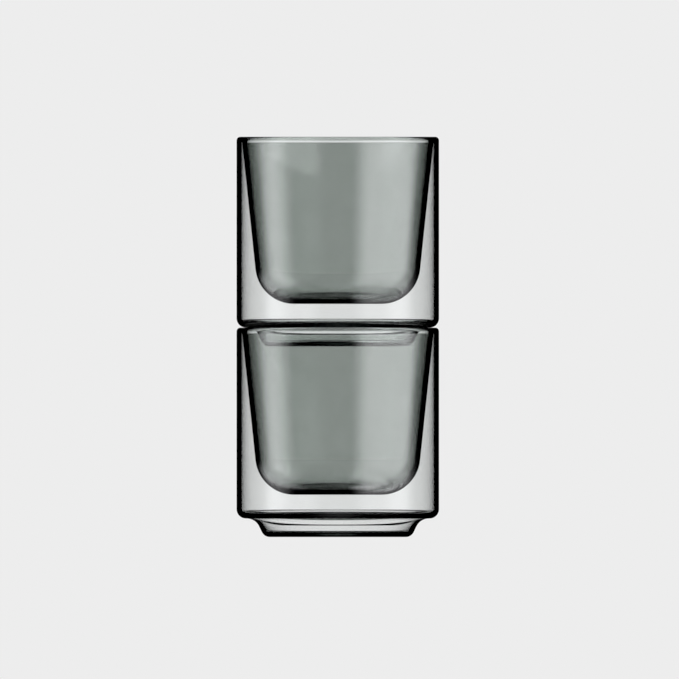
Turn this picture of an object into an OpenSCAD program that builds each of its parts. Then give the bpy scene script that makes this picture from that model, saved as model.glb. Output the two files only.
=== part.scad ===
// Stacking double-wall espresso glasses: a clear outer shell with a smoke inner cup under its rim,
// shown as two equal glasses with the upper foot nested in the lower mouth.
// Millimetres, Z up, the lower glass stands on Z = 0.

/* [Glass] */
// outside diameter of the straight wall
outer_d = 58.4; // [52:0.2:72]
// height of one glass
glass_h = 60.4; // [50:0.2:85]
// thickness of the outer shell
outer_wall = 1.4; // [1:0.1:2]
// thickness of the inner cup
inner_wall = 1.4; // [1:0.1:2.4]

/* [Rim] */
// height of the solid clear rim, which closes the space between the two walls
rim_h = 1.7; // [1.6:0.1:3]
// rounding of the rim's outer edge
rim_round_out = 1.1; // [0.4:0.1:1.2]
// rounding of the rim's inner edge, where a stacked glass sits
rim_round_in = 1.1; // [0.6:0.1:1.3]
// width of the air space right under the rim
rim_space = 0.2; // [0.1:0.05:1]

/* [Inner cup] */
// lean of the cup's wall from upright, in degrees
cup_draft = 6; // [3:0.25:8]
// outside rounding between the cup's wall and floor
cup_round = 11.2; // [6:0.1:15]
// air space between the cup's floor and the shoulder
floor_space = 5.45; // [2:0.05:10]

/* [Foot] */
// height of the shoulder above the base
foot_h = 5.35; // [4.5:0.05:8]
// distance from the straight wall in to the foot's base corner
foot_inset = 8; // [7:0.1:10]
// slope of the foot's side, in degrees from level
foot_slope = 64; // [58:1:72]
// rounding of the base corner
base_round = 2.5; // [2:0.1:3]
// rounding of the cove under the shoulder
cove_round = 4; // [2:0.1:4.5]
// rounding between the straight wall and the shoulder
body_round = 2.7; // [2.1:0.1:3]

/* [Vent] */
// diameter of the vent in the base
vent_d = 3; // [2:0.1:5]
// depth of the seal's underside above the base
seal_recess = 0.1; // [0.05:0.05:0.6]
// rounding of the seal's lower edge
seal_round = 0.25; // [0.1:0.05:0.35]

/* [Stack] */
// clearance between the shoulder and the rim it rests on
seat_gap = 0.1; // [0.05:0.05:0.3]

/* [Hidden] */
$fn = 128;
// largest angle of one step along a rounded corner
arc_step = 6;
outer_r = outer_d / 2;
shell_r = outer_r - outer_wall;
rim_z = glass_h - rim_h;
shoulder_z = foot_h + outer_wall;
vent_r = vent_d / 2;

// foot outline, level by level: the side's radius at a height, moved in by a thickness
foot_r = outer_r - foot_inset;
function foot_side_r(z, t) = foot_r + (z * cos(foot_slope) - t) / sin(foot_slope);

// the cove ends where the rounding of the straight wall begins
body_start_r = outer_r - body_round;
cove_most = (body_start_r - foot_side_r(foot_h, 0)) / tan(foot_slope / 2);
side_left = foot_h / sin(foot_slope) / tan(foot_slope / 2) - base_round;
cove_fit = min(cove_round, cove_most, side_left) - 0.01;

// cup wall, level by level
cup_top_r = shell_r - rim_space;
cup_z = shoulder_z + floor_space;
bowl_z = cup_z + inner_wall;
wall_across = inner_wall / cos(cup_draft);
function cup_r(z) = cup_top_r - (rim_z - z) * tan(cup_draft);
function bowl_r(z) = cup_r(z) - wall_across;

// the rim's upright inner side
mouth_r = bowl_r(rim_z);

// rise of a stacked glass: its body rounding rests on the rim's inner rounding
seat_r = mouth_r + rim_round_in;
seat_reach = rim_round_in + body_round + seat_gap;
seat_rise = sqrt(pow(seat_reach, 2) - pow(seat_r - body_start_r, 2));
stack_pitch = glass_h - rim_round_in + seat_rise - body_round - foot_h;

shell_colour = [0.90, 0.92, 0.92, 0.35];
cup_colour = [0.42, 0.45, 0.44, 0.6];
seal_colour = [0.80, 0.83, 0.83, 0.7];

// closed outlines: each point is radius, height and rounding
function flat_point(p) = [p[0], p[1]];
function unit(v) = v / norm(v);
function turned(v, q) = [v[0] * cos(q) - v[1] * sin(q), v[0] * sin(q) + v[1] * cos(q)];
function arc_points(b, u, turn, side) =
    let (start = flat_point(b) - u * b[2] * tan(turn / 2))
    let (centre = start + side * b[2] * [-u[1], u[0]])
    let (steps = ceil(turn / arc_step))
    [for (i = [0 : steps]) centre + turned(start - centre, side * turn * i / steps)];
function corner(a, b, c) =
    let (u = unit(flat_point(b) - flat_point(a)))
    let (v = unit(flat_point(c) - flat_point(b)))
    b[2] == 0 ? [flat_point(b)] : arc_points(b, u, acos(u * v), sign(cross(u, v)));
function rounded(p) =
    let (n = len(p))
    [for (i = [0 : n - 1]) each corner(p[(i + n - 1) % n], p[i], p[(i + 1) % n])];

module turned_solid(points) {
    rotate_extrude()
        polygon(rounded(points));
}

// straight-walled vessel with a rounded rim, a stepped foot and a vent through its base
module outer_shell() {
    turned_solid([
        [vent_r, 0, 0],
        [foot_r, 0, base_round],
        [foot_side_r(foot_h, 0), foot_h, cove_fit],
        [outer_r, foot_h, body_round],
        [outer_r, glass_h, rim_round_out],
        [mouth_r, glass_h, rim_round_in],
        [mouth_r, rim_z, 0],
        [shell_r, rim_z, 0],
        [shell_r, shoulder_z, body_round - outer_wall],
        [foot_side_r(shoulder_z, outer_wall), shoulder_z, cove_fit + outer_wall],
        [foot_side_r(outer_wall, outer_wall), outer_wall, base_round - outer_wall],
        [vent_r, outer_wall, 0]
    ]);
}

// tapered bowl, fused to the underside of the rim
module inner_cup() {
    turned_solid([
        [0, cup_z, 0],
        [cup_r(cup_z), cup_z, cup_round],
        [cup_r(rim_z), rim_z, 0],
        [mouth_r, rim_z, 0],
        [bowl_r(bowl_z), bowl_z, cup_round - inner_wall],
        [0, bowl_z, 0]
    ]);
}

// drop that closes the vent, kept clear of the surface below
module vent_seal() {
    turned_solid([
        [0, seal_recess, 0],
        [vent_r, seal_recess, seal_round],
        [vent_r, outer_wall, 0],
        [0, outer_wall, 0]
    ]);
}

module stacked() {
    translate([0, 0, stack_pitch])
        children();
}

module lower_outer_shell() {
    color(shell_colour)
        outer_shell();
}

module lower_inner_cup() {
    color(cup_colour)
        inner_cup();
}

module lower_vent_seal() {
    color(seal_colour)
        vent_seal();
}

module upper_outer_shell() {
    color(shell_colour)
        stacked()
            outer_shell();
}

module upper_inner_cup() {
    color(cup_colour)
        stacked()
            inner_cup();
}

module upper_vent_seal() {
    color(seal_colour)
        stacked()
            vent_seal();
}

lower_outer_shell();
lower_inner_cup();
lower_vent_seal();
upper_outer_shell();
upper_inner_cup();
upper_vent_seal();
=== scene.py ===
"""Two stacking double-wall espresso glasses.

Each glass has a clear outer shell with a rounded rim and a stepped foot, a smoke inner cup fused
under the rim, and a clear drop that seals the vent in the base.
"""

import math

import bpy
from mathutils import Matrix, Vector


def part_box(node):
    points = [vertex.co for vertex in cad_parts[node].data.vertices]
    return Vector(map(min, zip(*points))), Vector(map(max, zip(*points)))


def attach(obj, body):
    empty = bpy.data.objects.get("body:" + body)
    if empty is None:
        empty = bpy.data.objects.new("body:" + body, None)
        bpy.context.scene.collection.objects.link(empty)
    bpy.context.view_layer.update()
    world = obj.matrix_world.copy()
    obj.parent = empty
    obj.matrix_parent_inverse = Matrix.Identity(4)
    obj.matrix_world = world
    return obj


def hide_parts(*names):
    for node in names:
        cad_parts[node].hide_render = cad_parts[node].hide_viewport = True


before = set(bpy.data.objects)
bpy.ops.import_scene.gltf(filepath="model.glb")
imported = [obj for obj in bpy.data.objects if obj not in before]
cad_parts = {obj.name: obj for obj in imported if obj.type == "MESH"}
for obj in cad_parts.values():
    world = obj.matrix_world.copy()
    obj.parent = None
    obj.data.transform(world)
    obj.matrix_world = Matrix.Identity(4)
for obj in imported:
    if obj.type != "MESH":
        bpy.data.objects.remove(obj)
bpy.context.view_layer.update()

MM = 0.001
MICRON = 0.000001

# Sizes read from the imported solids
_, shell_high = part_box("lower_outer_shell")
cup_low, cup_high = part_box("lower_inner_cup")
OUTER_R = shell_high.x
GLASS_H = shell_high.z
RIM_Z = cup_high.z
CUP_Z = cup_low.z
STACK_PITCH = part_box("upper_outer_shell")[0].z

# Sizes that the boxes don't show
WALL = 1.4 * MM
RIM_ROUND = 1.1 * MM
RIM_SPACE = 0.2 * MM
CUP_DRAFT = math.radians(6)
CUP_ROUND = 11.2 * MM
FOOT_H = 5.35 * MM
FOOT_INSET = 8 * MM
FOOT_SLOPE = math.radians(64)
BASE_ROUND = 2.5 * MM
COVE_ROUND = 4 * MM
BODY_ROUND = 2.7 * MM
VENT_R = 1.5 * MM
SEAL_RECESS = 0.1 * MM
SEAL_ROUND = 0.25 * MM
# how far fused glass runs into its neighbour, so that no film of air is left in the seam
FUSED = 0.02 * MM

# Fineness of the turned shapes
TURN_STEPS = 192
ARC_STEP = math.radians(4)

# Marks in the glass: upright lines are ripples drawn out along the axis, and far shallower
DRAWN_OUT = (1, 1, 0.04)
LINE_SHARE = 0.05
LINE_DETAIL = 2
RIPPLE_DETAIL = 1
# film lies in patches of noise, and starts and is full at these values of it
FILM_PATCHES = 45
FILM_DETAIL = 4
FILM_EDGES = (0.4, 0.75)
FILM_ROUGHNESS = 0.08
FILM_TINT = (0.90, 0.92, 0.91, 1)
WHITE = (1, 1, 1, 1)

# Floor: half its width in metres, and its colour
FLOOR_HALF = 3
FLOOR_COLOUR = (0.85, 0.85, 0.85, 1)
# film of air between the base and the floor, which keeps the base's own face bright
FLOOR_GAP = 0.05 * MM

# Studio light, in degrees: turns go from the front to the right, heights up from level
BACKDROP = 0.847
PANEL_TINT = (0.985, 0.97, 1, 1)
PANEL_LEFT = (-104, -80, -76, -50)
PANEL_RIGHT = (14, 38, 84, 104)
# how far the panels flare below level, and the heights where that starts and is full
PANEL_FLARE = 0.15
FLARE_HEIGHTS = (-2, -6)
# fewest and most glass faces that light passes: any number, to the cup behind the shell, and
# to the back of the bowl and out through the mouth
MANY = 99
ANY_FACES = (0, MANY)
CUP_FACES = (3, MANY)
MOUTH_FACES = (4, 4)
# strength and heights of the panels' levels, and the glass faces that their light passes
PANEL_LEVELS = (
    (1.25, (-9, -5, 4, 12), ANY_FACES),
    (1.25, (-50, -35, -9, -5), CUP_FACES),
    (1.8, (-60, -40, -7, -3), CUP_FACES),
    (1.3, (4, 12, 25, 40), ANY_FACES),
    (2.3, (4, 8, 20, 30), MOUTH_FACES),
)
# strength, turns and heights of the low panels further back, for the cups' rounded bases
LOW_PANELS = (
    (0.8, (80, 100, 140, 150), (-45, -35, -30, -15)),
    (2.6, (14, 38, 130, 145), (-75, -62, -52, -42)),
    (1.1, (-140, -122, -100, -70), (-58, -45, -24, -4)),
)
# strength of the pale patches above and below, and the heights where they start and are full
OVERHEAD = (0.8, 62, 82)
UNDERFOOT = (0.3, -72, -83)

# The picture: its width and the glass's width in pixels, and where the axis and the base are
PIXELS = 679
GLASS_PIXELS = 202.4
PIXEL = 2 * OUTER_R / GLASS_PIXELS
AXIS_PIXEL = 337.8
BASE_PIXEL = 537.0
CAMERA_DISTANCE = 0.6

# How often light is followed through glass and off it
GLASS_BOUNCES = 32
MIRROR_BOUNCES = 16


# Turned shapes
def arc_points(before, corner, after):
    """Points of one corner, rounded where its third value isn't 0.

    Each point has the outline's heading before it and after it.
    """
    r, z, rounding = corner
    into = math.atan2(z - before[1], r - before[0])
    out = math.atan2(after[1] - z, after[0] - r)
    if rounding == 0:
        return [(r, z, into, out)]
    turn = (out - into + math.pi) % (2 * math.pi) - math.pi
    side = math.copysign(1, turn)
    reach = rounding * math.tan(abs(turn) / 2)
    centre_r = r - reach * math.cos(into) - side * rounding * math.sin(into)
    centre_z = z - reach * math.sin(into) + side * rounding * math.cos(into)
    steps = max(2, math.ceil(abs(turn) / ARC_STEP))
    points = []
    for step in range(steps + 1):
        heading = into + turn * step / steps
        arc_r = centre_r + side * rounding * math.sin(heading)
        arc_z = centre_z - side * rounding * math.cos(heading)
        points.append((arc_r, arc_z, heading, heading))
    return points


def rounded(corners):
    """Points of a closed outline, from its corners' radius, height and rounding."""
    points = []
    for i, corner in enumerate(corners):
        points += arc_points(corners[i - 1], corner, corners[(i + 1) % len(corners)])
    return points


def turned_point(r, z, step):
    angle = 2 * math.pi * step / TURN_STEPS
    return (r * math.cos(angle), r * math.sin(angle), z)


def turned_piece(name, corners, lift):
    """A closed solid turned about Z from its outline's corners, raised by lift.

    Its shading follows the outline itself, so straight walls reflect and refract as straight ones.
    """
    outline = rounded(corners)
    verts, rings = [], []
    for r, z, _, _ in outline:
        steps = TURN_STEPS if r > 0 else 1
        rings.append(range(len(verts), len(verts) + steps))
        verts += [turned_point(r, z + lift, step) for step in range(steps)]
    faces, normals = [], []
    for i, ring in enumerate(rings):
        j = (i + 1) % len(rings)
        heading = {i: outline[i][3], j: outline[j][2]}
        for step in range(TURN_STEPS):
            face = [(i, step), (i, step + 1), (j, step + 1), (j, step)]
            # a ring on the axis is one point, and two of them have no face between them
            if len(rings[j]) == 1:
                face.pop(2)
            if len(ring) == 1:
                face.pop(0)
            if len(face) < 3:
                break
            faces.append([rings[k][turn % len(rings[k])] for k, turn in face])
            normals += [
                turned_point(math.sin(heading[k]), -math.cos(heading[k]), turn) for k, turn in face
            ]
    mesh = bpy.data.meshes.new(name)
    mesh.from_pydata(verts, [], faces)
    mesh.shade_smooth()
    mesh.normals_split_custom_set(normals)
    piece = bpy.data.objects.new(name, mesh)
    bpy.context.collection.objects.link(piece)
    return piece


# Pieces of one glass
def foot_side_r(z, inward):
    """Radius of the foot's slanting side at a height, moved in by a thickness."""
    foot_r = OUTER_R - FOOT_INSET
    return foot_r + (z * math.cos(FOOT_SLOPE) - inward) / math.sin(FOOT_SLOPE)


def cup_r(z):
    """Outside radius of the cup's wall at a height."""
    return OUTER_R - WALL - RIM_SPACE - (RIM_Z - z) * math.tan(CUP_DRAFT)


def bowl_r(z):
    """Inside radius of the cup's wall at a height."""
    return cup_r(z) - WALL / math.cos(CUP_DRAFT)


def outer_shell(name, lift):
    """Straight-walled vessel with a rounded rim, a stepped foot and a vent through its base."""
    shoulder_z = FOOT_H + WALL
    corners = [
        (VENT_R, 0, 0),
        (OUTER_R - FOOT_INSET, 0, BASE_ROUND),
        (foot_side_r(FOOT_H, 0), FOOT_H, COVE_ROUND),
        (OUTER_R, FOOT_H, BODY_ROUND),
        (OUTER_R, GLASS_H, RIM_ROUND),
        (bowl_r(RIM_Z), GLASS_H, RIM_ROUND),
        (bowl_r(RIM_Z), RIM_Z, 0),
        (OUTER_R - WALL, RIM_Z, 0),
        (OUTER_R - WALL, shoulder_z, BODY_ROUND - WALL),
        (foot_side_r(shoulder_z, WALL), shoulder_z, COVE_ROUND + WALL),
        (foot_side_r(WALL, WALL), WALL, BASE_ROUND - WALL),
        (VENT_R, WALL, 0),
    ]
    return turned_piece(name, corners, lift)


def inner_cup(name, lift):
    """Tapered bowl, fused to the underside of the rim."""
    bowl_z = CUP_Z + WALL
    top = RIM_Z + FUSED
    corners = [
        (0, CUP_Z, 0),
        (cup_r(CUP_Z), CUP_Z, CUP_ROUND),
        (cup_r(RIM_Z), top, 0),
        (bowl_r(RIM_Z), top, 0),
        (bowl_r(bowl_z), bowl_z, CUP_ROUND - WALL),
        (0, bowl_z, 0),
    ]
    return turned_piece(name, corners, lift)


def vent_seal(name, lift):
    """Drop that closes the vent, kept clear of the surface below."""
    edge = VENT_R + FUSED
    corners = [
        (0, SEAL_RECESS, 0),
        (edge, SEAL_RECESS, SEAL_ROUND),
        (edge, WALL, 0),
        (0, WALL, 0),
    ]
    return turned_piece(name, corners, lift)


# Shader nodes
def place(tree, kind, inputs=None, **settings):
    """Adds a node: its settings, and its inputs as numbers, colours or other nodes' outputs."""
    made = tree.nodes.new(kind)
    for name, value in settings.items():
        setattr(made, name, value)
    for socket, value in (inputs or {}).items():
        if isinstance(value, bpy.types.NodeSocket):
            tree.links.new(value, made.inputs[socket])
        else:
            made.inputs[socket].default_value = value
    return made


def maths(tree, operation, *values):
    made = place(tree, "ShaderNodeMath", dict(enumerate(values)), operation=operation)
    return made.outputs[0]


def product(tree, first, second):
    return maths(tree, "MULTIPLY", first, second)


# a mix node's two inputs and its output, for numbers and for colours
MIX_SOCKETS = {"FLOAT": (2, 3, 0), "RGBA": (6, 7, 2)}


def mixed(tree, kind, share, first, second):
    """The first value where share is 0, the second where it is 1."""
    from_first, from_second, result = MIX_SOCKETS[kind]
    inputs = {0: share, from_first: first, from_second: second}
    return place(tree, "ShaderNodeMix", inputs, data_type=kind).outputs[result]


def noise(tree, spot, scale, detail):
    inputs = {"Vector": spot, "Scale": scale, "Detail": detail}
    return place(tree, "ShaderNodeTexNoise", inputs).outputs[0]


def soft_step(tree, value, low, high):
    """Rises smoothly from 0 at low to 1 at high."""
    inputs = {"Value": value, "From Min": low, "From Max": high}
    made = place(tree, "ShaderNodeMapRange", inputs, interpolation_type="SMOOTHSTEP")
    return made.outputs[0]


def soft_edge(tree, angle, start, full):
    """Rises smoothly from 0 at one angle to 1 at another, both in degrees."""
    return soft_step(tree, angle, math.radians(start), math.radians(full))


def soft_band(tree, angle, edges):
    """1 between the two middle angles, falling to 0 at the outer two, all in degrees."""
    start, full, last, end = edges
    rise = soft_edge(tree, angle, start, full)
    fall = soft_edge(tree, angle, last, end)
    return product(tree, rise, maths(tree, "SUBTRACT", 1, fall))


def new_material(name):
    material = bpy.data.materials.new(name)
    material.use_nodes = True
    material.node_tree.nodes.clear()
    return material, material.node_tree


# Glass
def drawn_glass_group():
    """Marks of drawn and fire-polished glass: fine upright lines, slow ripples, a trace of film."""
    group = bpy.data.node_groups.new("drawn_glass", "ShaderNodeTree")
    for name in ("Lines", "Ripples", "Polish", "Film"):
        group.interface.new_socket(name, in_out="INPUT", socket_type="NodeSocketFloat")
    group.interface.new_socket("Tint", in_out="OUTPUT", socket_type="NodeSocketColor")
    for name in ("Roughness", "Height"):
        group.interface.new_socket(name, in_out="OUTPUT", socket_type="NodeSocketFloat")
    given = place(group, "NodeGroupInput").outputs
    spot = place(group, "ShaderNodeTexCoord").outputs["Object"]
    drawn = place(group, "ShaderNodeMapping", {"Vector": spot, "Scale": DRAWN_OUT}).outputs[0]
    lines = noise(group, drawn, given["Lines"], LINE_DETAIL)
    ripples = noise(group, spot, given["Ripples"], RIPPLE_DETAIL)
    patches = noise(group, spot, FILM_PATCHES, FILM_DETAIL)
    film = product(group, soft_step(group, patches, *FILM_EDGES), given["Film"])
    outputs = {
        "Tint": mixed(group, "RGBA", film, WHITE, FILM_TINT),
        "Roughness": maths(group, "MULTIPLY_ADD", film, FILM_ROUGHNESS, given["Polish"]),
        "Height": maths(group, "MULTIPLY_ADD", lines, LINE_SHARE, ripples),
    }
    place(group, "NodeGroupOutput", outputs)
    return group


drawn_glass = drawn_glass_group()


def glass(name, tint, density, ior, depth, marks):
    """A glass: tint and density colour its thickness, depth is that of its marks in metres."""
    material, tree = new_material(name)
    surface = place(tree, "ShaderNodeGroup", node_tree=drawn_glass)
    for socket, value in marks.items():
        surface.inputs[socket].default_value = value
    relief = place(
        tree,
        "ShaderNodeBump",
        {"Height": surface.outputs["Height"], "Strength": 1, "Distance": depth},
    )
    shader = place(
        tree,
        "ShaderNodeBsdfPrincipled",
        {
            "Base Color": surface.outputs["Tint"],
            "Roughness": surface.outputs["Roughness"],
            "Normal": relief.outputs[0],
            "Transmission Weight": 1,
            "IOR": ior,
        },
    )
    absorb = place(
        tree, "ShaderNodeVolumeAbsorption", {"Color": (*tint, 1), "Density": density}
    )
    place(
        tree,
        "ShaderNodeOutputMaterial",
        {"Surface": shader.outputs[0], "Volume": absorb.outputs[0]},
    )
    return material


clear_glass = glass(
    "clear_glass",
    tint=(0.80, 0.86, 0.84),
    density=110,
    ior=1.47,
    depth=4 * MICRON,
    marks={"Lines": 500, "Ripples": 60, "Polish": 0.01, "Film": 0.1},
)
smoke_glass = glass(
    "smoke_glass",
    tint=(0.41, 0.47, 0.43),
    density=560,
    ior=1.5,
    depth=8 * MICRON,
    marks={"Lines": 600, "Ripples": 70, "Polish": 0.01, "Film": 0.1},
)
seal_glass = glass(
    "seal_glass",
    tint=(0.80, 0.86, 0.84),
    density=110,
    ior=1.47,
    depth=1 * MICRON,
    marks={"Lines": 900, "Ripples": 400, "Polish": 0.02, "Film": 0.2},
)

for level, lift in (("lower", 0), ("upper", STACK_PITCH)):
    for make, part, slot, material in (
        (outer_shell, "outer_shell", "clear_glass", clear_glass),
        (inner_cup, "inner_cup", "smoke_glass", smoke_glass),
        (vent_seal, "vent_seal", "seal_glass", seal_glass),
    ):
        piece = make(f"{level}_{part}_glass", lift)
        piece.data.materials.append(material)
        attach(piece, f"{level}_glass")
        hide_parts(f"{level}_{part}")


# Light's way through the glass
def counted(tree, kind, fewest, most):
    """1 for light whose count of one kind is in this range, 0 for the rest."""
    count = place(tree, "ShaderNodeLightPath").outputs[kind]
    enough = maths(tree, "GREATER_THAN", count, fewest - 0.5)
    return product(tree, enough, maths(tree, "LESS_THAN", count, most + 0.5))


def faces_passed(tree, fewest, most):
    return counted(tree, "Transmission Depth", fewest, most)


def reflections(tree, fewest, most):
    return counted(tree, "Glossy Depth", fewest, most)


# Stage
def pale_floor():
    """A matt floor that reflections look through, to the panels below its level."""
    mesh = bpy.data.meshes.new("floor")
    sides = (-FLOOR_HALF, FLOOR_HALF)
    corners = [(x, y, -FLOOR_GAP) for y in sides for x in sides]
    mesh.from_pydata(corners, [], [(0, 1, 3, 2)])
    floor = bpy.data.objects.new("floor", mesh)
    bpy.context.collection.objects.link(floor)
    material, tree = new_material("pale_floor")
    matt = place(tree, "ShaderNodeBsdfDiffuse", {"Color": FLOOR_COLOUR})
    opening = place(tree, "ShaderNodeBsdfTransparent")
    shader = place(
        tree,
        "ShaderNodeMixShader",
        {0: reflections(tree, 1, MANY), 1: matt.outputs[0], 2: opening.outputs[0]},
    )
    place(tree, "ShaderNodeOutputMaterial", {"Surface": shader.outputs[0]})
    mesh.materials.append(material)


def studio_angles(tree):
    """Turn and height of a direction. Turns are drawn in below level, where the panels flare."""
    direction = place(tree, "ShaderNodeTexCoord").outputs["Generated"]
    x, y, z = place(tree, "ShaderNodeSeparateXYZ", {0: direction}).outputs
    height = maths(tree, "ARCSINE", z)
    lower = soft_edge(tree, height, *FLARE_HEIGHTS)
    turn = maths(tree, "ARCTAN2", x, product(tree, y, -1))
    return product(tree, turn, maths(tree, "MULTIPLY_ADD", lower, -PANEL_FLARE, 1)), height


def side_panels(tree, turn, height):
    """Brightness of the panels at the left and right, level by level."""
    left, right = (soft_band(tree, turn, turns) for turns in (PANEL_LEFT, PANEL_RIGHT))
    glow = 0
    for strength, heights, faces in PANEL_LEVELS:
        level = product(tree, soft_band(tree, height, heights), faces_passed(tree, *faces))
        glow = maths(tree, "MULTIPLY_ADD", level, strength, glow)
    return product(tree, maths(tree, "ADD", left, right), glow)


def low_panels(tree, turn, height):
    """Brightness of the low panels, which only the cups show."""
    glow = 0
    for strength, turns, heights in LOW_PANELS:
        panel = product(tree, soft_band(tree, turn, turns), soft_band(tree, height, heights))
        glow = maths(tree, "MULTIPLY_ADD", panel, strength, glow)
    return product(tree, glow, faces_passed(tree, *CUP_FACES))


def studio_light():
    """An even pale backdrop; only reflections show the panels and the pale patches."""
    world = bpy.data.worlds.new("studio")
    bpy.context.scene.world = world
    world.use_nodes = True
    tree = world.node_tree
    tree.nodes.clear()
    turn, height = studio_angles(tree)
    panels = maths(tree, "ADD", side_panels(tree, turn, height), low_panels(tree, turn, height))
    # light reflected more than once sees no panels, which keeps thick glass edges black
    shown = product(tree, panels, reflections(tree, 0, 1))
    for strength, start, full in (OVERHEAD, UNDERFOOT):
        patch = soft_edge(tree, height, start, full)
        shown = maths(tree, "MULTIPLY_ADD", patch, strength, shown)
    # the matt floor gets full light, so that it is as pale as the backdrop
    on_floor = place(tree, "ShaderNodeLightPath").outputs["Is Diffuse Ray"]
    plain = maths(tree, "MULTIPLY_ADD", on_floor, 1 - BACKDROP, BACKDROP)
    mirrored = reflections(tree, 1, MANY)
    strength = mixed(tree, "FLOAT", mirrored, plain, shown)
    colour = mixed(tree, "RGBA", mirrored, WHITE, PANEL_TINT)
    light = place(tree, "ShaderNodeBackground", {"Color": colour, "Strength": strength})
    place(tree, "ShaderNodeOutputWorld", {"Surface": light.outputs[0]})


def level_camera():
    """A long-lens view straight from the front, framed as the picture is."""
    lens = bpy.data.cameras.new("camera")
    lens.type = "ORTHO"
    lens.ortho_scale = PIXELS * PIXEL
    camera = bpy.data.objects.new("camera", lens)
    bpy.context.collection.objects.link(camera)
    camera.location = (
        (PIXELS / 2 - AXIS_PIXEL) * PIXEL,
        -CAMERA_DISTANCE,
        (BASE_PIXEL - PIXELS / 2) * PIXEL,
    )
    camera.rotation_euler = (math.pi / 2, 0, 0)
    bpy.context.scene.camera = camera


pale_floor()
studio_light()
level_camera()
scene = bpy.context.scene
scene.view_settings.view_transform = "Standard"
scene.cycles.max_bounces = GLASS_BOUNCES
scene.cycles.transmission_bounces = GLASS_BOUNCES
scene.cycles.glossy_bounces = MIRROR_BOUNCES
